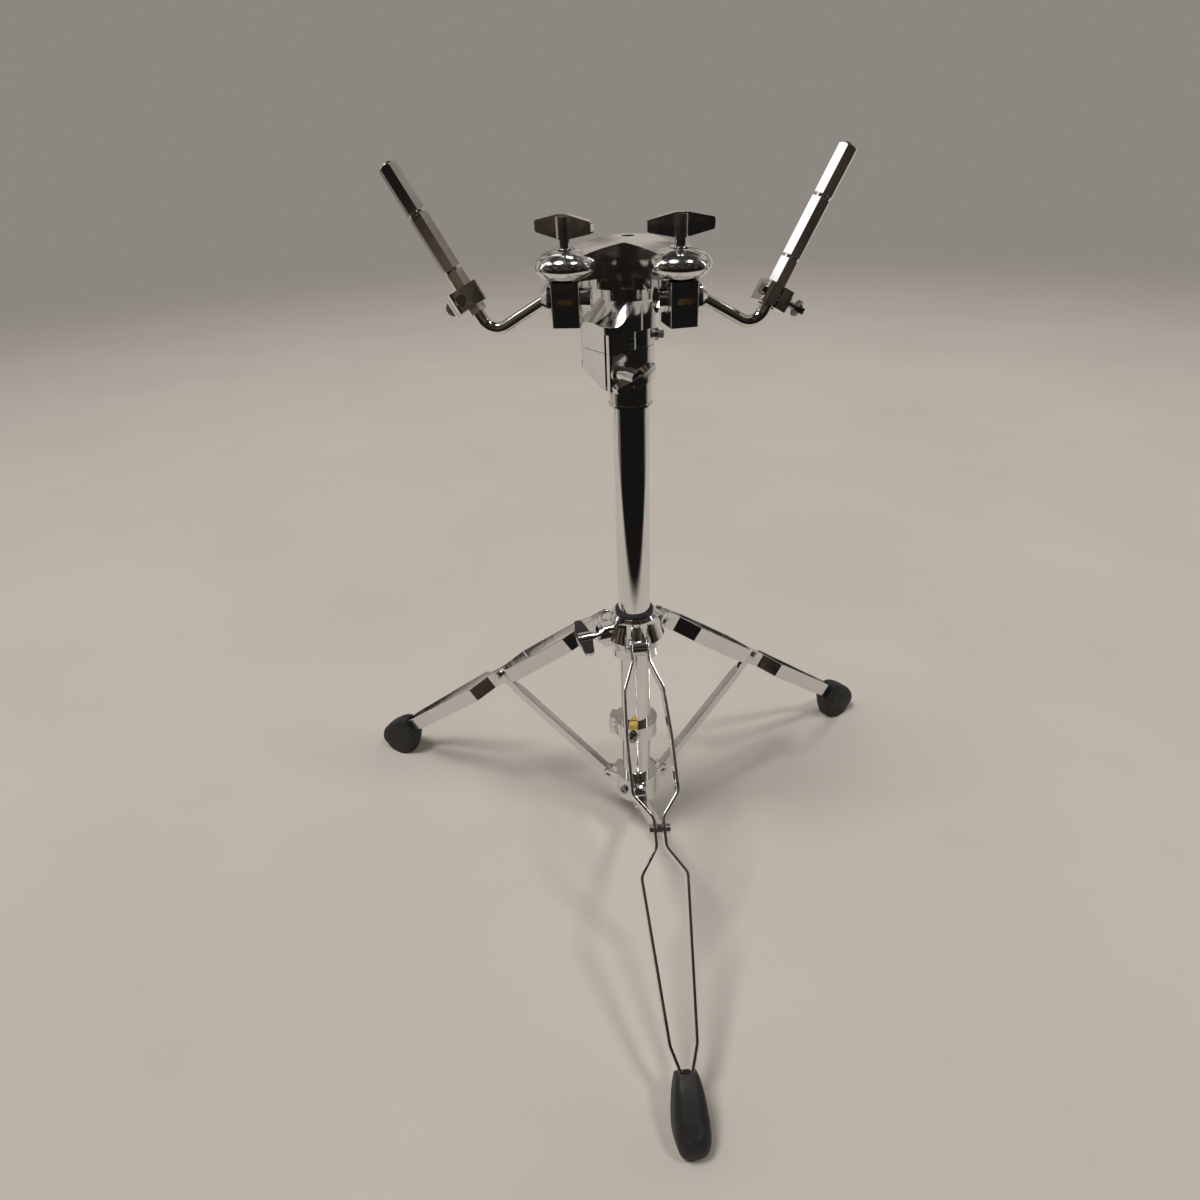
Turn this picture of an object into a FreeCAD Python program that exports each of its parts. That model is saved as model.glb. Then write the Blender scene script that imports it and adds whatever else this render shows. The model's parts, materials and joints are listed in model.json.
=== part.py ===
import FreeCAD
import Part
import math
import os

# Double tom stand: a folding tripod carries a base tube, a telescopic mast and a
# head with two adjustable L-shaped arms.  Millimetres, +Z up.  The front leg points
# along -Y.  The origin is on the floor, in the middle of the stand's footprint box.

V = FreeCAD.Vector
UP = V(0, 0, 1)
ALONG_X = V(1, 0, 0)
ALONG_Y = V(0, 1, 0)

# ---------------------------------------------------------------- driving sizes
TUBE_R = 19.05            # base tube, 38.1 mm outside
TUBE_BORE_R = 17.45
TUBE_BOTTOM = 50.0
TUBE_TOP = 654.0
MAST_R = 14.3             # telescopic mast, 28.6 mm outside
MAST_BORE_R = 12.8
MAST_BOTTOM = 150.0
MAST_TOP = 735.0
RUN = 0.06                # running clearance on radius
SNUG = 0.03               # clearance on radius inside one body

# tripod linkage: braces and leg tops have the same length, so the hub stays on the tube
LEG_AZIMUTHS = {"front": -90.0, "right": 30.0, "left": 150.0}
PIVOT_RADIUS = 40.0
HUB_PIVOT_Z = 320.0
COLLAR_PIVOT_Z = 71.0
PINCH_RADIUS = 203.5
LINK_RISE = (HUB_PIVOT_Z - COLLAR_PIVOT_Z) / 2
LINK_LENGTH = math.hypot(PINCH_RADIUS - PIVOT_RADIUS, LINK_RISE)
LINK_SLOPE = math.degrees(math.atan2(LINK_RISE, PINCH_RADIUS - PIVOT_RADIUS))
PINCH_OFFSET = 6.0        # pinch pivot above the line from the leg's top pivot
PINCH_ANGLE = math.degrees(math.asin(PINCH_OFFSET / LINK_LENGTH))
PINCH_ALONG = math.sqrt(LINK_LENGTH ** 2 - PINCH_OFFSET ** 2)
LEG_SLOPE = LINK_SLOPE + PINCH_ANGLE

STRAP_THICK = 3.2
STRAP_BEND_R = 12.0
STRAP_DEPTH = 20.0
STRAP_RAISE = 3.0         # strap middle above the line from the leg's top pivot
STRAP_TOP_GAP = 8.05      # half the gap between the straps at the hub
STRAP_PINCH_GAP = 3.65
STRAP_FOOT_GAP = 4.0
UPPER_BOW = 25.0          # middle of the strap, out from the leg's middle
LOWER_BOW = 24.6
LEG_END = 508.0
FOOT_START = 437.0
STRAP_END = 481.0
FLOOR_Z = -8.0            # floor, against the level that all heights are measured from

BRACE_WIDTH = 10.0
BRACE_NECK = 6.6
BRACE_DEPTH = 12.0
BRACE_WALL = 1.5
PIN_R = 3.0

# castings on the tube
COLLAR_R = 27.0
COLLAR_Z = (56.0, 92.0)
LOCK_R = 27.4
BASE_LOCK_Z = (162.0, 184.0)
HUB_R = 28.0
HUB_Z = (290.0, 344.0)
BUSHING_R = 22.7
BUSHING_Z = (288.0, 351.0)
HUB_FLARE = (36.0, 318.0) # radius and height of the flared shoulder between the legs
HUB_FLARE_HALF = 33.0     # half the sector of each shoulder
HUB_BOLT_AZIMUTH = -167.0
HUB_BOLT_Z = 322.0
HUB_BOSS_END = 46.0
CLAMP_R = 24.0
CLAMP_REACH = 43.0
CLAMP_Z = (624.0, 659.5)
SLEEVE_Z = (599.0, 624.0)
EAR_AZIMUTH = -147.5
CLAMP_BOLT_REACH = 33.0
CLAMP_BOLT_Z = 641.0
JAW_SLIT = 16.0           # slit of the clamp, sideways from the tube axis
MAST_LOCK_Z = (660.0, 677.4)
KEY_PAD_R = 6.5
BASE_LUG_Z = (152.0, 184.0)

# head
HEAD_TURN = -13.5         # the head is stored turned a little on the mast
HEAD_HUB_R = 27.5
HEAD_HUB_Z = (678.0, 757.0)
HEAD_FOOT_R = 29.5
HEAD_FOOT_RIM = 685.0
HEAD_FOOT_TOP = 704.0
HEAD_FOOT_REACH = 46.0
HEAD_SCREW_Z = 718.0
SOCKET_R = 6.35           # accessory socket in the top of the head
SOCKET_DEPTH = 24.0
LOBE_X = 51.5
LOBE_Y = -46.0
LOBE_R = 28.5
LOBE_Z = (727.2, 753.5)
LOBE_SEAT_R = 16.0        # flat underside of a lobe, on top of its tilter
HUB_DOME_R = 31.0
HUB_DOME_LOW = 741.0      # widest level of the hub's domed top
CROWN_R = 250.0           # sphere that shapes the top of the yoke between the lobes
CROWN_TOP = 757.5
YOKE_BACK = 7.0           # back edge of the yoke, behind the lobes' middles
YOKE_FRONT = (0.0, -31.0)
YOKE_CORNER = (42.0, -63.0)
APRON_R = 40.0            # reach of the rib under the yoke, clear of the swinging tilters
APRON_LOW = 716.0
STUD_R = 4.0

# tilter under each lobe
TILT_Z = 710.5
BLOCK = (13.0, 17.0)      # half width and half depth
BLOCK_Z = (688.0, 726.8)
BUSH_R = 12.0
TRUNNION_R = 9.0
FLANGE_R = 15.8
SWING = {"left": 2.5, "right": 21.5}
WING_TURN = {"left": 26.0, "right": -4.0}
TILT = -5.5

# L-shaped arm
ARM_R = 5.9
ARM_START = 19.0
ARM_DROP = 30.0
ARM_CORNER = 61.8
ARM_BEND_R = 16.0
ARM_LENGTH = 166.7
HEX_FLATS = 16.0
HEX_START = 24.0
GROOVES = (46.0, 101.0)   # from the arm's tip
ARM_LOCK_LENGTH = 19.0
ARM_LOCK_START = {"left": 30.0, "right": 21.0}
ARM_LOCK_TURN = {"left": 60.0, "right": 0.0}
ARM_LOCK_BOLT_SIDE = -12.5


# ---------------------------------------------------------------- helpers
def cylinder(radius, start, end):
    axis = end - start
    return Part.makeCylinder(radius, axis.Length, start, axis)


def pipe(outer, inner, low, high):
    height = high - low
    return Part.makeCylinder(outer, height, V(0, 0, low)).cut(
        Part.makeCylinder(inner, height, V(0, 0, low)))


def box(x0, x1, y0, y1, z0, z1):
    return Part.makeBox(x1 - x0, y1 - y0, z1 - z0, V(x0, y0, z0))


def soft_box(sides, radius, axis):
    """Box with its four edges along one axis rounded."""
    body = box(*sides)
    edges = [e for e in body.Edges if abs(e.tangentAt(e.FirstParameter).dot(axis)) > 0.99]
    return body.makeFillet(radius, edges)


def join(*shapes):
    return shapes[0].multiFuse(list(shapes[1:])).removeSplitter()


def turned(shape, azimuth):
    copy = shape.copy()
    copy.rotate(V(0, 0, 0), UP, azimuth)
    return copy


def moved(shape, x=0.0, y=0.0, z=0.0):
    copy = shape.copy()
    copy.translate(V(x, y, z))
    return copy


def laid(shape, radius, height, slope, azimuth):
    """Put a piece modelled along +X at a pivot and drop its far end by the slope."""
    copy = shape.copy()
    copy.rotate(V(0, 0, 0), ALONG_Y, slope)
    copy.translate(V(radius, 0, height))
    return turned(copy, azimuth)


def stood(shape, base, direction, roll=0.0):
    """Put a piece modelled along +Z with its base at a point and its axis along a direction."""
    copy = turned(shape, roll)
    turn = FreeCAD.Rotation(UP, direction)
    copy.rotate(V(0, 0, 0), turn.Axis, math.degrees(turn.Angle))
    copy.translate(base)
    return copy


def azimuth_vector(azimuth):
    angle = math.radians(azimuth)
    return V(math.cos(angle), math.sin(angle), 0)


def wedge(start, end, reach, low, high):
    """Sector of a disc between two azimuths less than 180 degrees apart."""
    sector = Part.makeCylinder(reach, high - low, V(0, 0, low), UP, end - start)
    return turned(sector, start)


def polygon_prism(points, depth):
    """Prism over a closed polygon, extruded along a vector."""
    face = Part.Face(Part.makePolygon(points + points[:1]))
    return face.extrude(depth)


def bent_strip(points, thickness, radius):
    """Flat face of a strip whose middle line has round bends at the inner points."""
    middle = [V(x, y, 0) for x, y in points]
    sides = []
    for offset in (thickness / 2, -thickness / 2):
        first = (middle[1] - middle[0]).normalize()
        last = middle[0] + V(-first.y, first.x, 0) * offset
        edges = []
        for before, corner, after in zip(middle, middle[1:], middle[2:]):
            into = (corner - before).normalize()
            out = (after - corner).normalize()
            left_in = V(-into.y, into.x, 0)
            left_out = V(-out.y, out.x, 0)
            hand = 1 if into.cross(out).z > 0 else -1
            reach = radius * math.tan(into.getAngle(out) / 2)
            begin = corner - into * reach
            centre = begin + left_in * (radius * hand)
            summit = (corner - centre).normalize()
            arc_points = [begin + left_in * offset,
                          centre + summit * (radius - offset * hand),
                          corner + out * reach + left_out * offset]
            edges.append(Part.makeLine(last, arc_points[0]))
            edges.append(Part.Arc(*arc_points).toShape())
            last = arc_points[2]
        final = (middle[-1] - middle[-2]).normalize()
        finish = middle[-1] + V(-final.y, final.x, 0) * offset
        edges.append(Part.makeLine(last, finish))
        sides.append(edges)
    ends = [Part.makeLine(sides[0][0].Vertexes[0].Point, sides[1][0].Vertexes[0].Point),
            Part.makeLine(sides[0][-1].Vertexes[-1].Point, sides[1][-1].Vertexes[-1].Point)]
    wire = Part.Wire(Part.__sortEdges__(sides[0] + sides[1] + ends))
    return Part.Face(wire)


def horseshoe(radius, reach, corner, low, high):
    """Round block with a straight-sided ear towards +X."""
    ear = soft_box((-1.0, reach, -radius, radius, low, high), corner, UP)
    keep = box(0, reach, -radius, radius, low, high)
    return join(Part.makeCylinder(radius, high - low, V(0, 0, low)), ear.common(keep))


def tee_wing(hub_r, stem, span, height, thick):
    """Wing nut or bolt head along +Z: a round hub and two wings that taper towards their tips."""
    half, root, waist = span / 2, hub_r * 0.8, height * 0.26
    outline = [V(-half, -thick / 2, stem + waist), V(-root, -thick / 2, stem),
               V(root, -thick / 2, stem), V(half, -thick / 2, stem + waist),
               V(half, -thick / 2, stem + height - waist), V(root, -thick / 2, stem + height),
               V(-root, -thick / 2, stem + height), V(-half, -thick / 2, stem + height - waist)]
    blade = polygon_prism(outline, V(0, thick, 0))
    tips = [e for e in blade.Edges
            if abs(e.CenterOfMass.x) > root and abs(e.tangentAt(e.FirstParameter).y) > 0.99]
    blade = blade.makeFillet(2.5, tips)
    hub = Part.makeCylinder(hub_r, height - 1.5, V(0, 0, stem))
    shank = Part.makeCylinder(hub_r - 1.5, stem + 1)
    return join(blade, hub, shank)


def key_bolt(shaft_r, length, flange_r=6.0):
    """Drum-key bolt along +Z: a round flange with a square drive, and its shaft below."""
    flange = Part.makeCylinder(flange_r, 2.5)
    drive = soft_box((-3.0, 3.0, -3.0, 3.0, 2.0, 8.0), 0.8, UP)
    shaft = Part.makeCylinder(shaft_r, length, V(0, 0, -length))
    return join(flange, drive, shaft)


def rivet(half, head_r, head):
    """Rivet along Y with two domed heads."""
    parts = [cylinder(PIN_R, V(0, -half - 0.5, 0), V(0, half + 0.5, 0))]
    for side in (-1, 1):
        dome = Part.makeCone(head_r, head_r * 0.6, head, V(0, side * half, 0), V(0, side, 0))
        parts.append(dome)
    return join(*parts)


# ---------------------------------------------------------------- column
def base_tube():
    return pipe(TUBE_R, TUBE_BORE_R, TUBE_BOTTOM, TUBE_TOP)


def tube_end_cap():
    plug = Part.makeCylinder(TUBE_BORE_R - SNUG, 14, V(0, 0, TUBE_BOTTOM))
    lip = Part.makeCylinder(TUBE_R, 3, V(0, 0, TUBE_BOTTOM - 3))
    return join(plug, lip)


def brace_collar():
    low, high = COLLAR_Z
    body = Part.makeCylinder(COLLAR_R, high - low, V(0, 0, low))
    for azimuth in LEG_AZIMUTHS.values():
        half = BRACE_WIDTH / 2 + 3.3
        lug = join(box(15, PIVOT_RADIUS, -half, half, COLLAR_PIVOT_Z - 9, COLLAR_PIVOT_Z + 9),
                   cylinder(9, V(PIVOT_RADIUS, -half, COLLAR_PIVOT_Z),
                            V(PIVOT_RADIUS, half, COLLAR_PIVOT_Z)),
                   cylinder(5, V(28.5, -half, high - 4.5), V(28.5, half, high - 4.5)))
        gap = BRACE_WIDTH / 2 + 0.3
        slot = box(PIVOT_RADIUS - 8.3, 60, -gap, gap, low, high + 10)
        hole = cylinder(PIN_R + SNUG, V(PIVOT_RADIUS, -30, COLLAR_PIVOT_Z),
                        V(PIVOT_RADIUS, 30, COLLAR_PIVOT_Z))
        body = body.fuse(turned(lug.cut(slot).cut(hole), azimuth))
    bore = Part.makeCylinder(TUBE_R + SNUG, 60, V(0, 0, low - 10))
    screw_hole = stood(Part.makeCylinder(3.5 + SNUG, 20), azimuth_vector(-135) * 12 + UP * 74,
                       azimuth_vector(-135))
    return body.cut(bore).cut(screw_hole).removeSplitter()


def collar_screw():
    direction = azimuth_vector(-135)
    body = join(Part.makeCylinder(3.5, 10), Part.makeCylinder(5.5, 3.5, V(0, 0, 8.0)))
    hexagon = Part.makeCylinder(2.2, 3, V(0, 0, 9.5))
    return stood(body.cut(hexagon), direction * (TUBE_R + SNUG) + UP * 74, direction)


def collar_pins():
    half = BRACE_WIDTH / 2 + 3.3
    pins = [laid(rivet(half, 5.0, 1.8), PIVOT_RADIUS, COLLAR_PIVOT_Z, 0, azimuth)
            for azimuth in LEG_AZIMUTHS.values()]
    return Part.makeCompound(pins)


def clamp_bolt_line(side):
    """Point on the height clamp's bolt, sideways from the ear's middle plane."""
    ear = azimuth_vector(EAR_AZIMUTH)
    across = azimuth_vector(EAR_AZIMUTH + 90)
    return ear * CLAMP_BOLT_REACH + across * side + UP * CLAMP_BOLT_Z


def height_clamp():
    low, high = CLAMP_Z
    body = horseshoe(CLAMP_R, CLAMP_REACH, 2.5, low, high)
    sloped = polygon_prism([V(8, -30, low - 1), V(8, 12, low - 1), V(8, -30, low + 19)],
                           V(60, 0, 0))
    body = body.cut(sloped.common(box(TUBE_R + 1, 60, -30, 30, low - 2, high)))
    sleeve = Part.makeCylinder(22.2, SLEEVE_Z[1] - SLEEVE_Z[0], V(0, 0, SLEEVE_Z[0]))
    ring = Part.makeCylinder(23.2, 3.0, V(0, 0, SLEEVE_Z[0]))
    body = join(body, sleeve, ring)
    boss = cylinder(9.5, V(CLAMP_BOLT_REACH, CLAMP_R - 4, CLAMP_BOLT_Z),
                    V(CLAMP_BOLT_REACH, CLAMP_R + 1.5, CLAMP_BOLT_Z))
    body = body.fuse(boss)
    bore = Part.makeCylinder(TUBE_R + SNUG, high, V(0, 0, SLEEVE_Z[0] - 1))
    slit = box(0, 60, JAW_SLIT - 1.5, JAW_SLIT + 1.5, low - 1, high + 1)
    bolt_hole = cylinder(4.1, V(CLAMP_BOLT_REACH, -60, CLAMP_BOLT_Z),
                         V(CLAMP_BOLT_REACH, 60, CLAMP_BOLT_Z))
    return turned(body.cut(bore).cut(slit).cut(bolt_hole).removeSplitter(), EAR_AZIMUTH)


def clamp_bushing():
    sleeve = pipe(TUBE_BORE_R - SNUG, MAST_R + RUN, TUBE_TOP - 60, TUBE_TOP)
    flange = pipe(TUBE_R, MAST_R + RUN, TUBE_TOP, CLAMP_Z[1] - 0.5)
    return join(sleeve, flange)


def clamp_bolt():
    shaft = Part.makeCylinder(STUD_R, 66)
    head = Part.makeCylinder(7.5, 4, V(0, 0, -4))
    return stood(join(shaft, head), clamp_bolt_line(-CLAMP_R), azimuth_vector(EAR_AZIMUTH + 90))


def clamp_wing_nut():
    wing = tee_wing(8.5, 12.0, 50.0, 17.0, 5.0)
    wing = wing.cut(Part.makeCylinder(STUD_R + RUN, 19.0, V(0, 0, -1)))
    return stood(wing, clamp_bolt_line(CLAMP_R + 2.0), azimuth_vector(EAR_AZIMUTH + 90), 50.0)


# ---------------------------------------------------------------- hinged locks
def lock_pieces(bore_r, outer_r, heights, hinge_azimuth, bolt_azimuth, block):
    """Ring, gate, hinge pin and key bolt of a hinged memory lock."""
    low, high = heights
    third = (high - low) / 3
    gap = 0.3
    hinge = azimuth_vector(hinge_azimuth) * (outer_r + 1.5)
    pad_base = outer_r - 4.0
    gate_end = bolt_azimuth + math.degrees(math.asin(KEY_PAD_R / pad_base)) + 1.0
    bore = Part.makeCylinder(bore_r, high - low + 2, V(0, 0, low - 1))
    sector = wedge(hinge_azimuth, gate_end, 60, low - 1, high + 1)
    clearance = wedge(hinge_azimuth - 1, gate_end + 1, 60, low - 1, high + 1)
    knuckle = Part.makeCylinder(5.0, third - gap)
    middle = hinge + UP * (low + third)
    pin_hole = Part.makeCylinder(2.0 + SNUG, high - low + 2, hinge + UP * (low - 1))

    ring = block.cut(clearance)
    for start in (low, high - third + gap):
        ring = ring.fuse(moved(knuckle, hinge.x, hinge.y, start))
    relief = Part.makeCylinder(5.6, third + gap)
    ring = ring.cut(moved(relief, middle.x, middle.y, middle.z)).cut(bore).cut(pin_hole)

    gate = Part.makeCylinder(outer_r, high - low, V(0, 0, low)).common(sector)
    relief = Part.makeCylinder(5.6, third + 1.5 * gap)
    for start in (low - gap, high - third - gap / 2):
        gate = gate.cut(moved(relief, hinge.x, hinge.y, start))
    gate = gate.fuse(moved(knuckle, hinge.x, hinge.y, middle.z + gap / 2))
    outward = azimuth_vector(bolt_azimuth)
    centre = UP * ((low + high) / 2)
    pad = stood(Part.makeCylinder(KEY_PAD_R, 6.0), outward * pad_base + centre, outward)
    bolt_hole = stood(Part.makeCylinder(3.0 + SNUG, 30), outward * 5 + centre, outward)
    gate = gate.fuse(pad).cut(bore).cut(pin_hole).cut(bolt_hole)

    pin = Part.makeCylinder(2.0, high - low, hinge + UP * low)
    bolt_seat = outer_r + 2.0
    bolt = stood(key_bolt(3.0, bolt_seat - bore_r), outward * bolt_seat + centre, outward)
    return ring.removeSplitter(), gate.removeSplitter(), pin, bolt


def base_lock():
    low, high = BASE_LOCK_Z
    hinge_azimuth, bolt_azimuth = 171.5, 255.0
    block = Part.makeCylinder(LOCK_R, high - low, V(0, 0, low))
    lug_low, lug_high = BASE_LUG_Z
    lug = soft_box((22, 35, -6.5, 6.5, lug_low, lug_high), 3.0, ALONG_Y)
    block = block.fuse(turned(lug, hinge_azimuth - 13.0))
    ring, gate, pin, bolt = lock_pieces(TUBE_R + RUN, LOCK_R, BASE_LOCK_Z, hinge_azimuth,
                                        bolt_azimuth, block)
    nut = soft_box((TUBE_R + 0.9, LOCK_R + 1.0, -5.5, 5.5, high + 0.1, high + 8.0), 1.5, ALONG_X)
    return {"base_lock_ring": ring, "base_lock_gate": gate, "base_lock_hinge_pin": pin,
            "base_lock_key_bolt": bolt, "base_lock_brass_nut": turned(nut, bolt_azimuth)}


def mast_lock():
    low, high = MAST_LOCK_Z
    block = turned(horseshoe(CLAMP_R - 0.2, CLAMP_REACH, 2.5, low, high), EAR_AZIMUTH)
    slit = turned(box(23, 60, JAW_SLIT - 1.5, JAW_SLIT + 1.5, low - 1, high + 1), EAR_AZIMUTH)
    ring, gate, pin, bolt = lock_pieces(MAST_R + RUN, CLAMP_R - 0.2, MAST_LOCK_Z,
                                        -94.5, -15.0, block.cut(slit))
    return {"mast_lock_ring": ring, "mast_lock_gate": gate, "mast_lock_hinge_pin": pin,
            "mast_lock_key_bolt": bolt}


# ---------------------------------------------------------------- tripod
def tripod_hub():
    low, high = HUB_Z
    body = Part.makeCylinder(HUB_R, high - low, V(0, 0, low))
    rim = Part.makeCone(HUB_R, HUB_R - 3, 4, V(0, 0, high))
    body = body.fuse(rim)
    flare_r, flare_z = HUB_FLARE
    flare = join(Part.makeCone(flare_r, HUB_R - 2, high + 1 - flare_z, V(0, 0, flare_z)),
                 Part.makeCone(HUB_R - 2, flare_r, flare_z - low - 6, V(0, 0, low + 6)))
    for azimuth in LEG_AZIMUTHS.values():
        between = azimuth + 60
        sector = wedge(between - HUB_FLARE_HALF, between + HUB_FLARE_HALF, 60, low, high + 4)
        body = body.fuse(flare.common(sector))
    half = STRAP_TOP_GAP - 0.35
    for azimuth in LEG_AZIMUTHS.values():
        lug = join(box(20, PIVOT_RADIUS, -half, half, HUB_PIVOT_Z - 10, HUB_PIVOT_Z + 10),
                   cylinder(10, V(PIVOT_RADIUS, -half, HUB_PIVOT_Z),
                            V(PIVOT_RADIUS, half, HUB_PIVOT_Z)))
        hole = cylinder(PIN_R + SNUG, V(PIVOT_RADIUS, -30, HUB_PIVOT_Z),
                        V(PIVOT_RADIUS, 30, HUB_PIVOT_Z))
        body = body.fuse(turned(lug.cut(hole), azimuth))
    outward = azimuth_vector(HUB_BOLT_AZIMUTH)
    boss = soft_box((20, HUB_BOSS_END - 4, -9.5, 9.5, HUB_BOLT_Z - 15, HUB_BOLT_Z + 14), 5, ALONG_X)
    collar = cylinder(11.0, V(30, 0, HUB_BOLT_Z), V(HUB_BOSS_END, 0, HUB_BOLT_Z))
    body = body.fuse(turned(join(boss, collar), HUB_BOLT_AZIMUTH))
    bore = Part.makeCylinder(BUSHING_R + SNUG, 80, V(0, 0, low - 10))
    bolt_hole = stood(Part.makeCylinder(STUD_R + RUN, 60), UP * HUB_BOLT_Z, outward)
    return body.cut(bore).cut(bolt_hole).removeSplitter()


def hub_bushing():
    low, high = BUSHING_Z
    return pipe(BUSHING_R, TUBE_R + RUN, low, high)


def hub_pivot_bolts():
    half = STRAP_TOP_GAP + STRAP_THICK + 0.2
    bolts = [laid(rivet(half, 5.5, 2.6), PIVOT_RADIUS, HUB_PIVOT_Z, 0, azimuth)
             for azimuth in LEG_AZIMUTHS.values()]
    return Part.makeCompound(bolts)


def hub_wing_bolt():
    outward = azimuth_vector(HUB_BOLT_AZIMUTH)
    wing = tee_wing(7.0, 4.0, 56.0, 18.0, 5.0)
    seat = HUB_BOSS_END + 5.0
    shaft = Part.makeCylinder(STUD_R, seat - BUSHING_R - 0.3, V(0, 0, BUSHING_R + 0.3 - seat))
    return stood(join(wing, shaft), outward * seat + UP * HUB_BOLT_Z, outward, 90.0)


def brace(azimuth):
    """Pressed channel from the collar to the pinch of the leg's straps."""
    half_depth = BRACE_DEPTH / 2
    half_width = BRACE_WIDTH / 2
    body = join(box(0, LINK_LENGTH, -half_width, half_width, -half_depth, half_depth),
                cylinder(half_depth, V(0, -half_width, 0), V(0, half_width, 0)),
                cylinder(half_depth, V(LINK_LENGTH, -half_width, 0),
                         V(LINK_LENGTH, half_width, 0)))
    neck_start = LINK_LENGTH - 38.0
    for side in (-1, 1):
        outside = [V(neck_start, side * half_width, -10),
                   V(neck_start + 14, side * BRACE_NECK / 2, -10),
                   V(LINK_LENGTH + 10, side * BRACE_NECK / 2, -10),
                   V(LINK_LENGTH + 10, side * 9, -10),
                   V(neck_start, side * 9, -10)]
        body = body.cut(polygon_prism(outside, V(0, 0, 20)))
    inner = half_width - BRACE_WALL
    channel = box(10, neck_start - 4, -inner, inner, -half_depth - 1, half_depth - BRACE_WALL)
    body = body.cut(channel)
    for along in (0, LINK_LENGTH):
        body = body.cut(cylinder(PIN_R + RUN, V(along, -20, 0), V(along, 20, 0)))
    return laid(body.removeSplitter(), PIVOT_RADIUS, COLLAR_PIVOT_Z, -LINK_SLOPE, azimuth)


def strap_route():
    """Middle line of one strap, along the leg and out from the leg's middle plane."""
    half = STRAP_THICK / 2
    top = STRAP_TOP_GAP + half
    pinch = STRAP_PINCH_GAP + half
    foot = STRAP_FOOT_GAP + half
    return [(-12.0, top), (19.0, top), (52.0, UPPER_BOW - 3.0), (105.0, UPPER_BOW),
            (168.0, UPPER_BOW), (PINCH_ALONG - 11.5, pinch), (PINCH_ALONG + 19.0, pinch),
            (PINCH_ALONG + 47.0, LOWER_BOW), (411.0, 13.6), (FOOT_START - 1.0, foot),
            (STRAP_END, foot)]


def leg_strap(side, azimuth):
    low = STRAP_RAISE - STRAP_DEPTH / 2
    face = bent_strip(strap_route(), STRAP_THICK, STRAP_BEND_R)
    strap = moved(face.extrude(V(0, 0, STRAP_DEPTH)), z=low)
    end_r = STRAP_DEPTH / 2
    trim = box(-20, 0, -40, 40, low - 1, low + STRAP_DEPTH + 1)
    trim = trim.cut(cylinder(end_r, V(0, -50, STRAP_RAISE), V(0, 50, STRAP_RAISE)))
    strap = strap.cut(trim)
    strap = strap.cut(cylinder(PIN_R + RUN, V(0, -60, 0), V(0, 60, 0)))
    strap = strap.cut(cylinder(PIN_R + SNUG, V(PINCH_ALONG, -60, PINCH_OFFSET),
                               V(PINCH_ALONG, 60, PINCH_OFFSET)))
    if side < 0:
        strap = strap.mirror(V(0, 0, 0), ALONG_Y)
    return laid(strap, PIVOT_RADIUS, HUB_PIVOT_Z, LEG_SLOPE, azimuth)


def leg_fasteners(azimuth):
    """Pinch bolt with its nut, and the spacer riveted between the straps in the foot."""
    half = STRAP_PINCH_GAP + STRAP_THICK
    shaft = cylinder(PIN_R, V(0, -half - 1, 0), V(0, half + 5.5, 0))
    head = Part.makeCone(6.5, 4.5, 4.2, V(0, -half, 0), V(0, -1, 0))
    nut = Part.makeCylinder(5.5, 4.5, V(0, half, 0), ALONG_Y)
    bolt = moved(join(shaft, head, nut), PINCH_ALONG, 0, PINCH_OFFSET)
    spacer = box(FOOT_START + 8, STRAP_END - 4, -STRAP_FOOT_GAP, STRAP_FOOT_GAP,
                 STRAP_RAISE - 7, STRAP_RAISE + 7)
    pieces = [laid(shape, PIVOT_RADIUS, HUB_PIVOT_Z, LEG_SLOPE, azimuth)
              for shape in (bolt, spacer)]
    return Part.makeCompound(pieces)


def foot_section(along, half_width, low, high, corner):
    block = soft_box((along, along + 1, -half_width, half_width, low, high), corner, ALONG_X)
    faces = [f for f in block.Faces if abs(f.CenterOfMass.x - along) < 1e-6]
    return faces[0].OuterWire


def leg_foot(azimuth):
    """Rubber foot, cut off flat at the floor with the tripod spread."""
    sections = [foot_section(FOOT_START, 11.0, -12.0, 15.5, 6.0),
                foot_section(FOOT_START + 15, 14.5, -22.0, 20.5, 9.0),
                foot_section(FOOT_START + 37, 17.0, -34.0, 22.0, 12.0),
                foot_section(LEG_END - 11, 16.5, -38.0, 18.5, 12.0),
                foot_section(LEG_END, 12.0, -34.0, 9.5, 9.0)]
    foot = Part.makeLoft(sections, True, False)
    pocket_half = STRAP_FOOT_GAP + STRAP_THICK + 0.05
    low = STRAP_RAISE - STRAP_DEPTH / 2
    pocket = box(FOOT_START - 1, STRAP_END + 0.5, -pocket_half, pocket_half, low, low + STRAP_DEPTH)
    placed = laid(foot.cut(pocket), PIVOT_RADIUS, HUB_PIVOT_Z, LEG_SLOPE, azimuth)
    return placed.cut(box(-600, 600, -600, 600, -60, FLOOR_Z))


# ---------------------------------------------------------------- mast and head
def mast_tube():
    return pipe(MAST_R, MAST_BORE_R, MAST_BOTTOM, MAST_TOP)


def mast_bushing():
    ring = pipe(TUBE_BORE_R - RUN, MAST_R, MAST_BOTTOM, MAST_BOTTOM + 24)
    lip = pipe(TUBE_BORE_R - RUN, MAST_BORE_R, MAST_BOTTOM - 2, MAST_BOTTOM)
    return join(ring, lip)


def squashed_ball(radius, half_height):
    squash = FreeCAD.Matrix()
    squash.scale(1, 1, half_height / radius)
    return Part.makeSphere(radius).transformGeometry(squash)


def head_lobe(side):
    """Flattened dome over a tilter, cut off flat where the tilter seats."""
    low, high = LOBE_Z
    share = math.sqrt(1 - (LOBE_SEAT_R / LOBE_R) ** 2)
    half_height = (high - low) / (1 + share)
    dome = squashed_ball(LOBE_R, half_height)
    dome = dome.cut(box(-40, 40, -40, 40, -40, -half_height * share))
    return moved(dome, side * LOBE_X, LOBE_Y, high - half_height)


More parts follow.
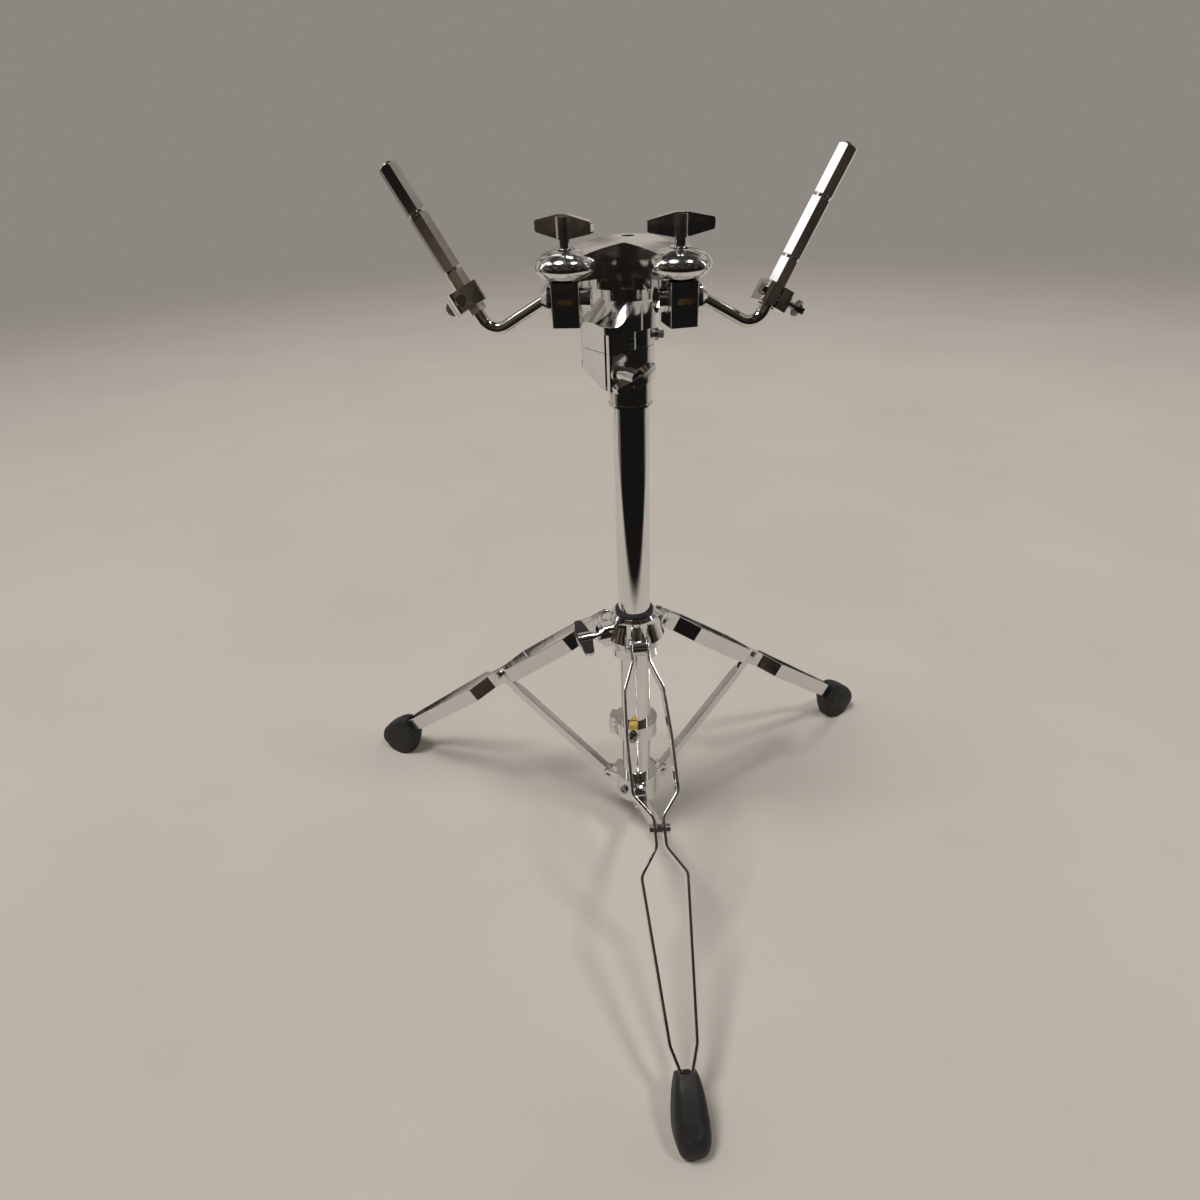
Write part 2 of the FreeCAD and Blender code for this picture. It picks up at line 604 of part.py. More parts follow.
def hub_dome():
    """Domed top of the hub, cut off flat around the accessory socket."""
    high = HEAD_HUB_Z[1]
    dome = moved(squashed_ball(HUB_DOME_R, high - HUB_DOME_LOW + 1.5), z=HUB_DOME_LOW)
    return dome.cut(box(-40, 40, -40, 40, high, high + 10)).cut(
        box(-40, 40, -40, 40, HUB_DOME_LOW - 30, HUB_DOME_LOW - 6))


def head_yoke():
    """Crowned web from the hub to both lobes, with a deeper rib close to the hub."""
    low, high = LOBE_Z[0] + 0.4, CROWN_TOP + 2
    reach = V(LOBE_X, LOBE_Y, 0)
    across = V(-reach.y, reach.x, 0).normalize()
    right = [across * HEAD_HUB_R, reach + across * YOKE_BACK, V(*YOKE_CORNER, 0)]
    left = [V(-p.x, p.y, 0) for p in reversed(right)]
    outline = [V(p.x, p.y, APRON_LOW) for p in right + [V(*YOKE_FRONT, 0)] + left]
    kite = polygon_prism(outline, V(0, 0, high - APRON_LOW))
    crown = Part.makeSphere(CROWN_R, V(0, 0, CROWN_TOP - CROWN_R))
    rib = Part.makeCylinder(APRON_R, low + 5 - APRON_LOW, V(0, 0, APRON_LOW))
    web = box(-100, 100, -100, 100, low, high).common(crown)
    return kite.common(web).fuse(kite.common(rib))


def head_casting():
    low, high = HEAD_HUB_Z
    ear = EAR_AZIMUTH - HEAD_TURN
    hub = Part.makeCylinder(HEAD_HUB_R, HUB_DOME_LOW - low, V(0, 0, low))
    foot = horseshoe(HEAD_FOOT_R, HEAD_FOOT_REACH, 12.0, low, HEAD_FOOT_TOP)
    slope = join(Part.makeCylinder(60, HEAD_FOOT_RIM - low, V(0, 0, low)),
                 Part.makeCone(HEAD_FOOT_REACH + 1.5, HEAD_HUB_R, HEAD_FOOT_TOP - HEAD_FOOT_RIM,
                               V(0, 0, HEAD_FOOT_RIM)))
    foot = turned(foot.common(slope), ear)
    lobes = [head_lobe(side) for side in (-1, 1)]
    body = join(hub, hub_dome(), foot, head_yoke(), *lobes)
    for side in (-1, 1):
        bottom = V(side * LOBE_X, LOBE_Y, LOBE_Z[0] - 20)
        recess = V(side * LOBE_X, LOBE_Y, LOBE_Z[1] - 1.5)
        body = body.cut(Part.makeCylinder(STUD_R + RUN, 90, bottom))
        body = body.cut(Part.makeCylinder(10.0, 9, recess))
    body = body.cut(Part.makeCylinder(MAST_R + SNUG, MAST_TOP - low + 1, V(0, 0, low - 1)))
    body = body.cut(Part.makeCylinder(SOCKET_R, SOCKET_DEPTH + 1, V(0, 0, high - SOCKET_DEPTH)))
    screw = cylinder(3.0 + SNUG, V(0, 5, HEAD_SCREW_Z), V(0, 60, HEAD_SCREW_Z))
    return turned(body.cut(screw).removeSplitter(), HEAD_TURN)


def head_set_screw():
    reach = HEAD_HUB_R - MAST_R - SNUG + 1.0
    bolt = key_bolt(3.0, reach)
    base = turned_vector(V(0, HEAD_HUB_R + 1.0, HEAD_SCREW_Z), HEAD_TURN)
    return stood(bolt, base, azimuth_vector(90 + HEAD_TURN))


def turned_vector(point, azimuth):
    return FreeCAD.Rotation(UP, azimuth).multVec(point)


# ---------------------------------------------------------------- tilters and arms
def on_head(shape, side, tilt=0.0):
    """Place a piece modelled on a right-hand tilter, about the tilter's centre."""
    copy = shape.copy()
    sign = 1 if side == "right" else -1
    if sign < 0:
        copy = copy.mirror(V(0, 0, 0), ALONG_X)
    copy.rotate(V(0, 0, 0), ALONG_X, tilt)
    copy.rotate(V(0, 0, 0), UP, SWING[side])
    copy.translate(V(sign * LOBE_X, LOBE_Y, TILT_Z))
    return turned(copy, HEAD_TURN)


def tilter_block(side):
    half_x, half_y = BLOCK
    low, high = BLOCK_Z[0] - TILT_Z, BLOCK_Z[1] - TILT_Z
    body = soft_box((-half_x, half_x, -half_y, half_y, low, high), 2.5, UP)
    body = body.cut(cylinder(BUSH_R + SNUG, V(-30, 0, 0), V(30, 0, 0)))
    body = body.cut(soft_box((-7.5, 7.5, -30, 0, -2.2, 2.2), 1.5, ALONG_Y))
    return on_head(body.cut(Part.makeCylinder(STUD_R + SNUG, 40)), side)


def tilter_bush(side):
    body = cylinder(BUSH_R, V(-BLOCK[0], 0, 0), V(BLOCK[0], 0, 0))
    return on_head(body.cut(cylinder(TRUNNION_R + RUN, V(-30, 0, 0), V(30, 0, 0))), side)


def tilter_stud(side):
    washer_top = LOBE_Z[1] - 1.5 + 2.0 - TILT_Z
    stud = Part.makeCylinder(STUD_R, washer_top + 18.0 - BUSH_R, V(0, 0, BUSH_R + 0.5))
    return on_head(stud, side)


def tilter_washer(side):
    low = LOBE_Z[1] - 1.5 - TILT_Z
    return on_head(moved(pipe(9.5, STUD_R + SNUG, 0, 2.0), z=low), side)


def tilter_wing_nut(side):
    low = LOBE_Z[1] + 0.5 - TILT_Z
    wing = tee_wing(7.0, 7.0, 60.0, 20.0, 5.0)
    wing = wing.cut(Part.makeCylinder(STUD_R + RUN, 21.0, V(0, 0, -1)))
    return on_head(moved(turned(wing, WING_TURN[side]), z=low), side)


def hex_ring(across_flats, height):
    corner_r = across_flats / math.sqrt(3)
    return [V(corner_r * math.cos(math.radians(60 * k)), corner_r * math.sin(math.radians(60 * k)),
              height) for k in range(6)]


def hex_bar(low, high):
    corner_r = HEX_FLATS / math.sqrt(3)
    bar = polygon_prism(hex_ring(HEX_FLATS, low), V(0, 0, high - low))
    cone_height = 2.5
    tip = Part.makeCylinder(corner_r, high - low - cone_height, V(0, 0, low)).fuse(
        Part.makeCone(corner_r, corner_r - 2.2, cone_height, V(0, 0, high - cone_height)))
    return bar.common(tip)


def arm_frame(shape, side):
    """Place a piece modelled along the upright arm, from the arm's corner upwards."""
    copy = shape.copy()
    copy.rotate(V(0, 0, 0), ALONG_Y, ARM_DROP)
    drop = math.radians(ARM_DROP)
    copy.translate(V(ARM_START + ARM_CORNER * math.cos(drop), 0, -ARM_CORNER * math.sin(drop)))
    return on_head(copy, side, TILT)


def tilter_arm(side):
    drop = math.radians(ARM_DROP)
    line = V(math.cos(drop), 0, -math.sin(drop))
    lift = V(math.sin(drop), 0, math.cos(drop))
    start = V(ARM_START, 0, 0)
    corner = start + line * ARM_CORNER
    bend_in = corner - line * ARM_BEND_R
    bend_out = corner + lift * ARM_BEND_R
    centre = bend_in + lift * ARM_BEND_R
    elbow = Part.makeTorus(ARM_BEND_R, ARM_R, V(0, 0, 0), UP, 0, 360, 90)
    frame = FreeCAD.Rotation(lift * -1, line, V(0, 0, 0), "XYZ")
    elbow.rotate(V(0, 0, 0), frame.Axis, math.degrees(frame.Angle))
    elbow.translate(centre)
    trunnion = cylinder(TRUNNION_R, V(-BLOCK[0] - 2, 0, 0), V(BLOCK[0] + 3, 0, 0))
    inner_nut = Part.makeCylinder(11.0, 9, V(-BLOCK[0] - 0.4, 0, 0), V(-1, 0, 0))
    flange = Part.makeCylinder(FLANGE_R, 3.5, V(BLOCK[0] + 0.4, 0, 0), ALONG_X)
    dome = Part.makeCone(FLANGE_R, 8.5, 6.5, V(BLOCK[0] + 3.9, 0, 0), ALONG_X)
    bar = hex_bar(HEX_START, ARM_LENGTH)
    for groove in GROOVES:
        middle = ARM_LENGTH - groove
        cutter = pipe(HEX_FLATS, HEX_FLATS / 2 - 0.2, middle - 1.4, middle + 1.4)
        bar = bar.cut(cutter)
    bar.rotate(V(0, 0, 0), ALONG_Y, ARM_DROP)
    bar.translate(corner)
    arm = join(trunnion, inner_nut, flange, dome, cylinder(ARM_R, start - line * 3, bend_in),
               elbow, cylinder(ARM_R, bend_out, corner + lift * (HEX_START + 5)), bar)
    return on_head(arm, side, TILT)


def arm_lock(side):
    low = ARM_LOCK_START[side]
    high = low + ARM_LOCK_LENGTH
    body = soft_box((-14, 14, ARM_LOCK_BOLT_SIDE - 6, 12, low, high), 5.0, UP)
    body = body.cut(polygon_prism(hex_ring(HEX_FLATS + 0.24, low - 1), V(0, 0, high - low + 2)))
    body = body.cut(box(-1.0, 1.0, -30, -5, low - 1, high + 1))
    middle = (low + high) / 2
    hole = cylinder(3.0 + SNUG, V(-30, ARM_LOCK_BOLT_SIDE, middle),
                    V(30, ARM_LOCK_BOLT_SIDE, middle))
    return arm_frame(turned(body.cut(hole), ARM_LOCK_TURN[side]), side)


def arm_lock_bolt(side):
    middle = ARM_LOCK_START[side] + ARM_LOCK_LENGTH / 2
    bolt = stood(key_bolt(3.0, 38.0, 7.5), V(22.0, ARM_LOCK_BOLT_SIDE, middle), ALONG_X)
    nut = cylinder(5.0, V(-17.5, ARM_LOCK_BOLT_SIDE, middle), V(-14, ARM_LOCK_BOLT_SIDE, middle))
    return arm_frame(turned(join(bolt, nut), ARM_LOCK_TURN[side]), side)


# ---------------------------------------------------------------- all nodes
def build():
    nodes = {
        "base_tube": base_tube(),
        "tube_end_cap": tube_end_cap(),
        "brace_collar": brace_collar(),
        "collar_screw": collar_screw(),
        "collar_pins": collar_pins(),
        "height_clamp": height_clamp(),
        "clamp_bushing": clamp_bushing(),
        "clamp_bolt": clamp_bolt(),
        "clamp_wing_nut": clamp_wing_nut(),
        "tripod_hub": tripod_hub(),
        "hub_bushing": hub_bushing(),
        "hub_pivot_bolts": hub_pivot_bolts(),
        "hub_wing_bolt": hub_wing_bolt(),
        "mast_tube": mast_tube(),
        "mast_bushing": mast_bushing(),
        "head_casting": head_casting(),
        "head_set_screw": head_set_screw(),
    }
    nodes.update(base_lock())
    nodes.update(mast_lock())
    for name, azimuth in LEG_AZIMUTHS.items():
        nodes[name + "_brace"] = brace(azimuth)
        nodes[name + "_leg_strap_a"] = leg_strap(1, azimuth)
        nodes[name + "_leg_strap_b"] = leg_strap(-1, azimuth)
        nodes[name + "_leg_fasteners"] = leg_fasteners(azimuth)
        nodes[name + "_foot"] = leg_foot(azimuth)
    for side in ("left", "right"):
        nodes[side + "_tilter_block"] = tilter_block(side)
        nodes[side + "_tilter_bush"] = tilter_bush(side)
        nodes[side + "_tilter_stud"] = tilter_stud(side)
        nodes[side + "_tilter_washer"] = tilter_washer(side)
        nodes[side + "_wing_nut"] = tilter_wing_nut(side)
        nodes[side + "_arm"] = tilter_arm(side)
        nodes[side + "_arm_lock"] = arm_lock(side)
        nodes[side + "_arm_lock_bolt"] = arm_lock_bolt(side)
    return nodes


def footprint_middle(nodes):
    """Shift in Y that puts the origin in the middle of the bounding box."""
    whole = Part.makeCompound(list(nodes.values())).optimalBoundingBox(False)
    return -(whole.YMin + whole.YMax) / 2


NODES = build()
COLUMN_Y = footprint_middle(NODES)
os.makedirs("parts", exist_ok=True)
for node_name, node_shape in NODES.items():
    moved(node_shape, y=COLUMN_Y, z=-FLOOR_Z).exportStep("parts/" + node_name + ".step")
print("nodes", len(NODES), "column at y", round(COLUMN_Y, 3))
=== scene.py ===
import json
import math

import bpy
from mathutils import Matrix, Vector


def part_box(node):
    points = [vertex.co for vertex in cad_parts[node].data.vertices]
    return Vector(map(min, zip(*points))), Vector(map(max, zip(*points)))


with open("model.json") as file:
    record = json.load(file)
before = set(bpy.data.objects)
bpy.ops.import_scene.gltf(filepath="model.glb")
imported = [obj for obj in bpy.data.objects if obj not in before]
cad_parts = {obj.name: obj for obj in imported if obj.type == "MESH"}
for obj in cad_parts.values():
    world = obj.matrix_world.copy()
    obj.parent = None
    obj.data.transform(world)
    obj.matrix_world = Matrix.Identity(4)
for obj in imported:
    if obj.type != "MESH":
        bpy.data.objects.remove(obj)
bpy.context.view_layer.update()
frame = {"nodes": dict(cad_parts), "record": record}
NODES = frame["nodes"]
SLOT_OF = {part["node"]: part["material_slot"] for part in frame["record"]["subparts"]}

# the stand's upright axis, where it meets the floor; lights and camera are placed from it
low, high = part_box("base_tube")
AXIS = Vector(((low.x + high.x) / 2, (low.y + high.y) / 2, 0.0))

# camera: degrees, millimetres and metres
CAMERA_YAW = 3.65
CAMERA_PITCH = 31.36
CAMERA_ROLL = -2.43
CAMERA_LENS = 23.83
CAMERA_SENSOR = 36.0
CAMERA_PLACE = (-0.0915, -0.8002, 0.8613)

# studio: linear colours, metres
WARM_WHITE = (1.0, 0.975, 0.94)
WHITE = (1.0, 1.0, 1.0)
BACKDROP = (0.265, 0.243, 0.218)
FLOOR_DARK = (0.62, 0.580, 0.53)
FLOOR_PALE = (0.66, 0.620, 0.57)
FLOOR_SIZE = 16.0
FLOOR_SEEN = 5.5            # the floor melts into the backdrop at this distance
FLOOR_MIRROR_SHIFT = 0.89   # the part of the floor that metal mirrors lies mostly behind
FLOOR_MIRROR_REACH = 1.62
ROOM_DARK = (0.010, 0.009, 0.008)
ROOM_BROWN = (0.20, 0.150, 0.105)
ROOM_LOW = (0.009, 0.008, 0.007)
CURTAIN_SHADE = (0.15, 0.130, 0.108)
CURTAIN_LIGHT = (0.52, 0.475, 0.42)
CEILING = (0.035, 0.032, 0.028)

# rounded edges, metres
WELD_DISTANCE = 0.000004
HARD_EDGE = 32.0            # degrees
BIG_CASTING_EDGE = 0.0018
USUAL_EDGE = 0.0005
EDGE_WIDTH = {"strap_chrome": 0.0007, "brace_chrome": 0.0007, "cast_chrome": 0.0009,
              "wing_chrome": 0.0012, "screw_dark_chrome": 0.0004, "bolt_chrome": 0.0004,
              "brass": 0.0003, "foot_rubber": 0.0012}


# ------------------------------------------------------------------ node-material helpers

class Surface:
    """A Principled material that is built up from procedural layers in object space."""

    def __init__(self, name, **fixed):
        self.material = bpy.data.materials.new(name)
        self.material.use_nodes = True
        self.tree = self.material.node_tree
        self.shader = self.tree.nodes["Principled BSDF"]
        for key, value in fixed.items():
            self.shader.inputs[key.replace("_", " ")].default_value = value
        self.place = self.tree.nodes.new("ShaderNodeTexCoord").outputs["Object"]

    def node(self, kind, **settings):
        made = self.tree.nodes.new(kind)
        for key, value in settings.items():
            if hasattr(made, key):
                setattr(made, key, value)
            else:
                made.inputs[key].default_value = value
        return made

    def link(self, source, target):
        self.tree.links.new(source, target)

    def noise(self, scale, detail=3.0, roughness=0.5, stretch=None, distortion=0.0):
        made = self.node("ShaderNodeTexNoise", Scale=scale, Detail=detail, Roughness=roughness,
                         Distortion=distortion)
        self.link(self.stretched(stretch), made.inputs["Vector"])
        return made.outputs["Fac"]

    def stretched(self, stretch):
        if stretch is None:
            return self.place
        mapping = self.node("ShaderNodeMapping")
        mapping.inputs["Scale"].default_value = stretch
        self.link(self.place, mapping.inputs["Vector"])
        return mapping.outputs["Vector"]

    def cells(self, scale):
        made = self.node("ShaderNodeTexVoronoi", Scale=scale)
        self.link(self.place, made.inputs["Vector"])
        return made.outputs["Distance"]

    def ramp(self, source, stops, interpolation="LINEAR"):
        """Colour ramp; stops are (position, colour or grey)."""
        made = self.node("ShaderNodeValToRGB")
        made.color_ramp.interpolation = interpolation
        elements = made.color_ramp.elements
        while len(elements) < len(stops):
            elements.new(0.5)
        for element, (position, value) in zip(elements, stops):
            element.position = position
            grey = not isinstance(value, (tuple, list))
            element.color = (value, value, value, 1) if grey else (*value, 1)
        self.link(source, made.inputs["Fac"])
        return made.outputs["Color"]

    def combine(self, first, second, kind="MULTIPLY"):
        made = self.node("ShaderNodeMix", data_type="RGBA", blend_type=kind)
        made.inputs["Factor"].default_value = 1.0
        self.link(first, made.inputs["A"])
        self.link(second, made.inputs["B"])
        return made.outputs["Result"]

    def distance_fade(self, centre_y, radius, start):
        """0 near the centre, 1 beyond the radius; the change begins at that share of the radius."""
        mapping = self.node("ShaderNodeMapping")
        mapping.inputs["Location"].default_value = (0.0, -centre_y / radius, 0.0)
        mapping.inputs["Scale"].default_value = (1 / radius, 1 / radius, 1.0)
        self.link(self.place, mapping.inputs["Vector"])
        length = self.node("ShaderNodeVectorMath", operation="LENGTH")
        self.link(mapping.outputs["Vector"], length.inputs[0])
        return self.ramp(length.outputs["Value"], [(start, 0.0), (1.0, 1.0)], "EASE")

    def masked(self, mask, first, second):
        """The first layer where the mask is 0, the second where it is 1."""
        made = self.node("ShaderNodeMix", data_type="RGBA")
        self.link(mask, made.inputs["Factor"])
        self.link(first, made.inputs["A"])
        self.link(second, made.inputs["B"])
        return made.outputs["Result"]

    def bump(self, *layers):
        """Bump from (height, distance in metres, strength) layers, one on another."""
        normal = None
        for height, distance, strength in layers:
            made = self.node("ShaderNodeBump", Distance=distance, Strength=strength)
            self.link(height, made.inputs["Height"])
            if normal:
                self.link(normal, made.inputs["Normal"])
            normal = made.outputs["Normal"]
        self.link(normal, self.shader.inputs["Normal"])

    def set(self, **sources):
        for key, source in sources.items():
            self.link(source, self.shader.inputs[key.replace("_", " ")])
        return self.material


def shade(colour, factor, lift=0.0):
    return tuple(channel * factor + lift for channel in colour)


def chrome(name, tone, rough, smudge, ripple=0.0, pits=0.0, grain=(1.0, 1.0, 14.0)):
    """Chrome plate: haze, finger smudges, hairline scratches, plating pits and casting ripple."""
    s = Surface(name, Metallic=1.0)
    haze = s.ramp(s.noise(9.0, 4.0, 0.6), [(0.30, rough), (0.75, rough + smudge * 0.35)])
    smear = s.ramp(s.noise(38.0, 5.0, 0.65, distortion=0.6), [(0.56, 0.0), (0.74, smudge)])
    scratches = s.ramp(s.noise(900.0, 2.0, 0.5, stretch=grain), [(0.60, 0.0), (0.80, 0.10)])
    roughness = s.combine(s.combine(haze, smear, "ADD"), scratches, "ADD")
    clean = s.ramp(s.noise(14.0, 3.0, 0.5),
                   [(0.25, (tone * 0.93, tone * 0.925, tone * 0.915)), (0.7, (tone, tone, tone * 1.01))])
    pit_mask = s.ramp(s.cells(520.0), [(0.02 + pits * 0.16, 1.0), (0.05 + pits * 0.22, 0.0)])
    patch = s.ramp(s.noise(30.0, 4.0, 0.7), [(0.52 - pits * 0.14, 0.0), (0.66, 1.0)])
    spots = s.combine(pit_mask, patch)
    dirt = s.ramp(s.noise(260.0, 3.0, 0.6),
                  [(0.3, (0.10, 0.075, 0.055)), (0.8, (0.26, 0.22, 0.19))])
    colour = s.masked(spots, clean, dirt)
    rough_spots = s.masked(spots, roughness, s.ramp(s.noise(120.0), [(0.3, 0.42), (0.7, 0.60)]))
    layers = [(scratches, 0.00002, 0.25), (spots, 0.00010, -0.6)]
    if ripple:
        layers.append((s.noise(70.0, 1.5, 0.4), 0.0006, ripple))
    s.bump(*layers)
    return s.set(Base_Color=colour, Roughness=rough_spots)


def rubber(name, base, shine):
    """Moulded rubber or plastic: fine grain, dust in the hollows and rubbed edges."""
    s = Surface(name, Metallic=0.0)
    grime = s.ramp(s.noise(42.0, 5.0, 0.65), [(0.40, shade(base, 0.75)), (0.62, base),
                                              (0.86, shade(base, 2.6, 0.02))])
    scuff = s.ramp(s.noise(300.0, 4.0, 0.7, stretch=(1.0, 1.0, 0.25)),
                   [(0.62, (0.0, 0.0, 0.0)), (0.80, (0.055, 0.05, 0.045))])
    rough = s.ramp(s.noise(85.0, 4.0, 0.6), [(0.3, shine), (0.75, min(shine + 0.24, 0.95))])
    s.bump((s.noise(1400.0, 2.0, 0.5), 0.00008, 0.35), (s.noise(160.0, 3.0, 0.5), 0.00025, 0.30))
    return s.set(Base_Color=s.combine(grime, scuff, "ADD"), Roughness=rough)


def brass(name):
    """Tarnished brass: a dull coat over part of the metal, with turning marks."""
    s = Surface(name, Metallic=0.30)
    colour = s.ramp(s.noise(70.0, 3.0, 0.5), [(0.25, (0.62, 0.40, 0.10)), (0.50, (0.86, 0.60, 0.18)),
                                              (0.78, (0.95, 0.74, 0.32))])
    rough = s.ramp(s.noise(260.0, 3.0, 0.6), [(0.30, 0.30), (0.75, 0.48)])
    s.bump((s.noise(900.0, 2.0, 0.5, stretch=(12.0, 1.0, 1.0)), 0.00003, 0.4))
    return s.set(Base_Color=colour, Roughness=rough)


def nylon(name, base):
    """Moulded nylon: smoother than the rubber, with a light cloudy tone."""
    s = Surface(name, Metallic=0.0)
    colour = s.ramp(s.noise(90.0, 4.0, 0.6), [(0.3, shade(base, 0.8)), (0.8, shade(base, 1.3))])
    rough = s.ramp(s.noise(150.0, 3.0, 0.6), [(0.3, 0.32), (0.75, 0.50)])
    s.bump((s.noise(1200.0, 2.0, 0.5), 0.00004, 0.3))
    return s.set(Base_Color=colour, Roughness=rough)


MATERIALS = {
    "tube_chrome": chrome("tube_chrome", 0.84, 0.035, 0.07, pits=0.05, grain=(1.0, 1.0, 0.06)),
    "strap_chrome": chrome("strap_chrome", 0.80, 0.07, 0.16, ripple=0.10, pits=0.55),
    "brace_chrome": chrome("brace_chrome", 0.80, 0.07, 0.14, ripple=0.06, pits=0.35),
    "arm_chrome": chrome("arm_chrome", 0.80, 0.06, 0.15, pits=0.30, grain=(1.0, 1.0, 0.08)),
    "cast_chrome": chrome("cast_chrome", 0.82, 0.09, 0.14, ripple=0.25, pits=0.12),
    "wing_chrome": chrome("wing_chrome", 0.82, 0.05, 0.12, ripple=0.25, pits=0.15),
    "bolt_chrome": chrome("bolt_chrome", 0.76, 0.10, 0.18, pits=0.30),
    "screw_dark_chrome": chrome("screw_dark_chrome", 0.34, 0.16, 0.20, pits=0.35),
    "brass": brass("brass"),
    "foot_rubber": rubber("foot_rubber", (0.015, 0.015, 0.016), 0.50),
    "end_cap_plastic": rubber("end_cap_plastic", (0.022, 0.022, 0.022), 0.42),
    "bushing_nylon_black": nylon("bushing_nylon_black", (0.022, 0.022, 0.024)),
    "bushing_nylon_grey": nylon("bushing_nylon_grey", (0.34, 0.34, 0.33)),
}


# ------------------------------------------------------------------ carried-over CAD nodes

def soften(obj, width):
    """Weld the facets, round the hard edges and shade the rest smooth."""
    weld = obj.modifiers.new("weld", "WELD")
    weld.merge_threshold = WELD_DISTANCE
    bevel = obj.modifiers.new("edges", "BEVEL")
    bevel.width = width
    bevel.segments = 2
    bevel.limit_method = "ANGLE"
    bevel.angle_limit = math.radians(HARD_EDGE)
    bevel.use_clamp_overlap = True
    bevel.miter_outer = "MITER_ARC"
    bevel.harden_normals = False
    obj.modifiers.new("normals", "WEIGHTED_NORMAL").keep_sharp = False


for name, obj in NODES.items():
    slot = SLOT_OF[name]
    obj.data.materials.clear()
    obj.data.materials.append(MATERIALS[slot])
    soften(obj, BIG_CASTING_EDGE if name == "head_casting" else EDGE_WIDTH.get(slot, USUAL_EDGE))


# ------------------------------------------------------------------ studio

def studio_floor():
    """Pale floor; it melts into the backdrop far away, and ends sooner for what metal mirrors."""
    bpy.ops.mesh.primitive_grid_add(x_subdivisions=8, y_subdivisions=8, size=FLOOR_SIZE,
                                    location=(AXIS.x, AXIS.y, 0.0))
    floor = bpy.context.active_object
    floor.name = "studio_floor"
    s = Surface("floor_pale", Roughness=0.85, Specular_IOR_Level=0.15)
    s.set(Base_Color=s.ramp(s.noise(2.2, 4.0, 0.5), [(0.3, FLOOR_DARK), (0.7, FLOOR_PALE)]))
    floor.data.materials.append(s.material)
    seen = s.distance_fade(0.0, FLOOR_SEEN, 0.35)
    mirrored = s.distance_fade(FLOOR_MIRROR_SHIFT, FLOOR_MIRROR_REACH, 0.90)
    path = s.node("ShaderNodeLightPath")
    fade = s.masked(path.outputs["Is Camera Ray"], mirrored, seen)
    clear = s.node("ShaderNodeBsdfTransparent")
    mix = s.node("ShaderNodeMixShader")
    s.link(fade, mix.inputs["Fac"])
    s.link(s.shader.outputs["BSDF"], mix.inputs[1])
    s.link(clear.outputs["BSDF"], mix.inputs[2])
    s.link(mix.outputs["Shader"], s.tree.nodes["Material Output"].inputs["Surface"])


def studio_world():
    """Plain backdrop; polished metal mirrors a dark room in front, a curtain behind, a dim ceiling."""
    world = bpy.data.worlds.new("studio")
    bpy.context.scene.world = world
    world.use_nodes = True
    tree = world.node_tree
    tree.nodes.clear()

    def blend(fac, first, second):
        made = tree.nodes.new("ShaderNodeMix")
        made.data_type = "RGBA"
        tree.links.new(fac, made.inputs["Factor"])
        for key, value in (("A", first), ("B", second)):
            if isinstance(value, tuple):
                made.inputs[key].default_value = (*value, 1)
            else:
                tree.links.new(value, made.inputs[key])
        return made.outputs["Result"]

    def span(source, start, end):
        made = tree.nodes.new("ShaderNodeMapRange")
        made.interpolation_type = "SMOOTHSTEP"
        made.inputs["From Min"].default_value = start
        made.inputs["From Max"].default_value = end
        tree.links.new(source, made.inputs["Value"])
        return made.outputs["Result"]

    direction = tree.nodes.new("ShaderNodeTexCoord").outputs["Generated"]
    split = tree.nodes.new("ShaderNodeSeparateXYZ")
    tree.links.new(direction, split.inputs["Vector"])

    def patches(scale, squash):
        """Soft variation over the surround; squash stretches it upward into folds."""
        mapping = tree.nodes.new("ShaderNodeMapping")
        mapping.inputs["Scale"].default_value = (scale, scale, scale * squash)
        tree.links.new(direction, mapping.inputs["Vector"])
        made = tree.nodes.new("ShaderNodeTexNoise")
        made.inputs["Scale"].default_value = 1.0
        made.inputs["Detail"].default_value = 3.0
        tree.links.new(mapping.outputs["Vector"], made.inputs["Vector"])
        return made.outputs["Fac"]

    room = blend(span(patches(5.0, 0.6), 0.44, 0.72), ROOM_DARK, ROOM_BROWN)
    room = blend(span(split.outputs["Z"], -0.17, 0.03), ROOM_LOW, room)
    curtain = blend(span(patches(5.5, 0.3), 0.36, 0.64), CURTAIN_SHADE, CURTAIN_LIGHT)
    walls = blend(span(split.outputs["Y"], -0.22, 0.30), room, curtain)
    mirrored = blend(span(split.outputs["Z"], 0.68, 0.86), walls, CEILING)
    path = tree.nodes.new("ShaderNodeLightPath")
    colour = blend(path.outputs["Is Camera Ray"], mirrored, BACKDROP)
    background = tree.nodes.new("ShaderNodeBackground")
    tree.links.new(colour, background.inputs["Color"])
    out = tree.nodes.new("ShaderNodeOutputWorld")
    tree.links.new(background.outputs["Background"], out.inputs["Surface"])


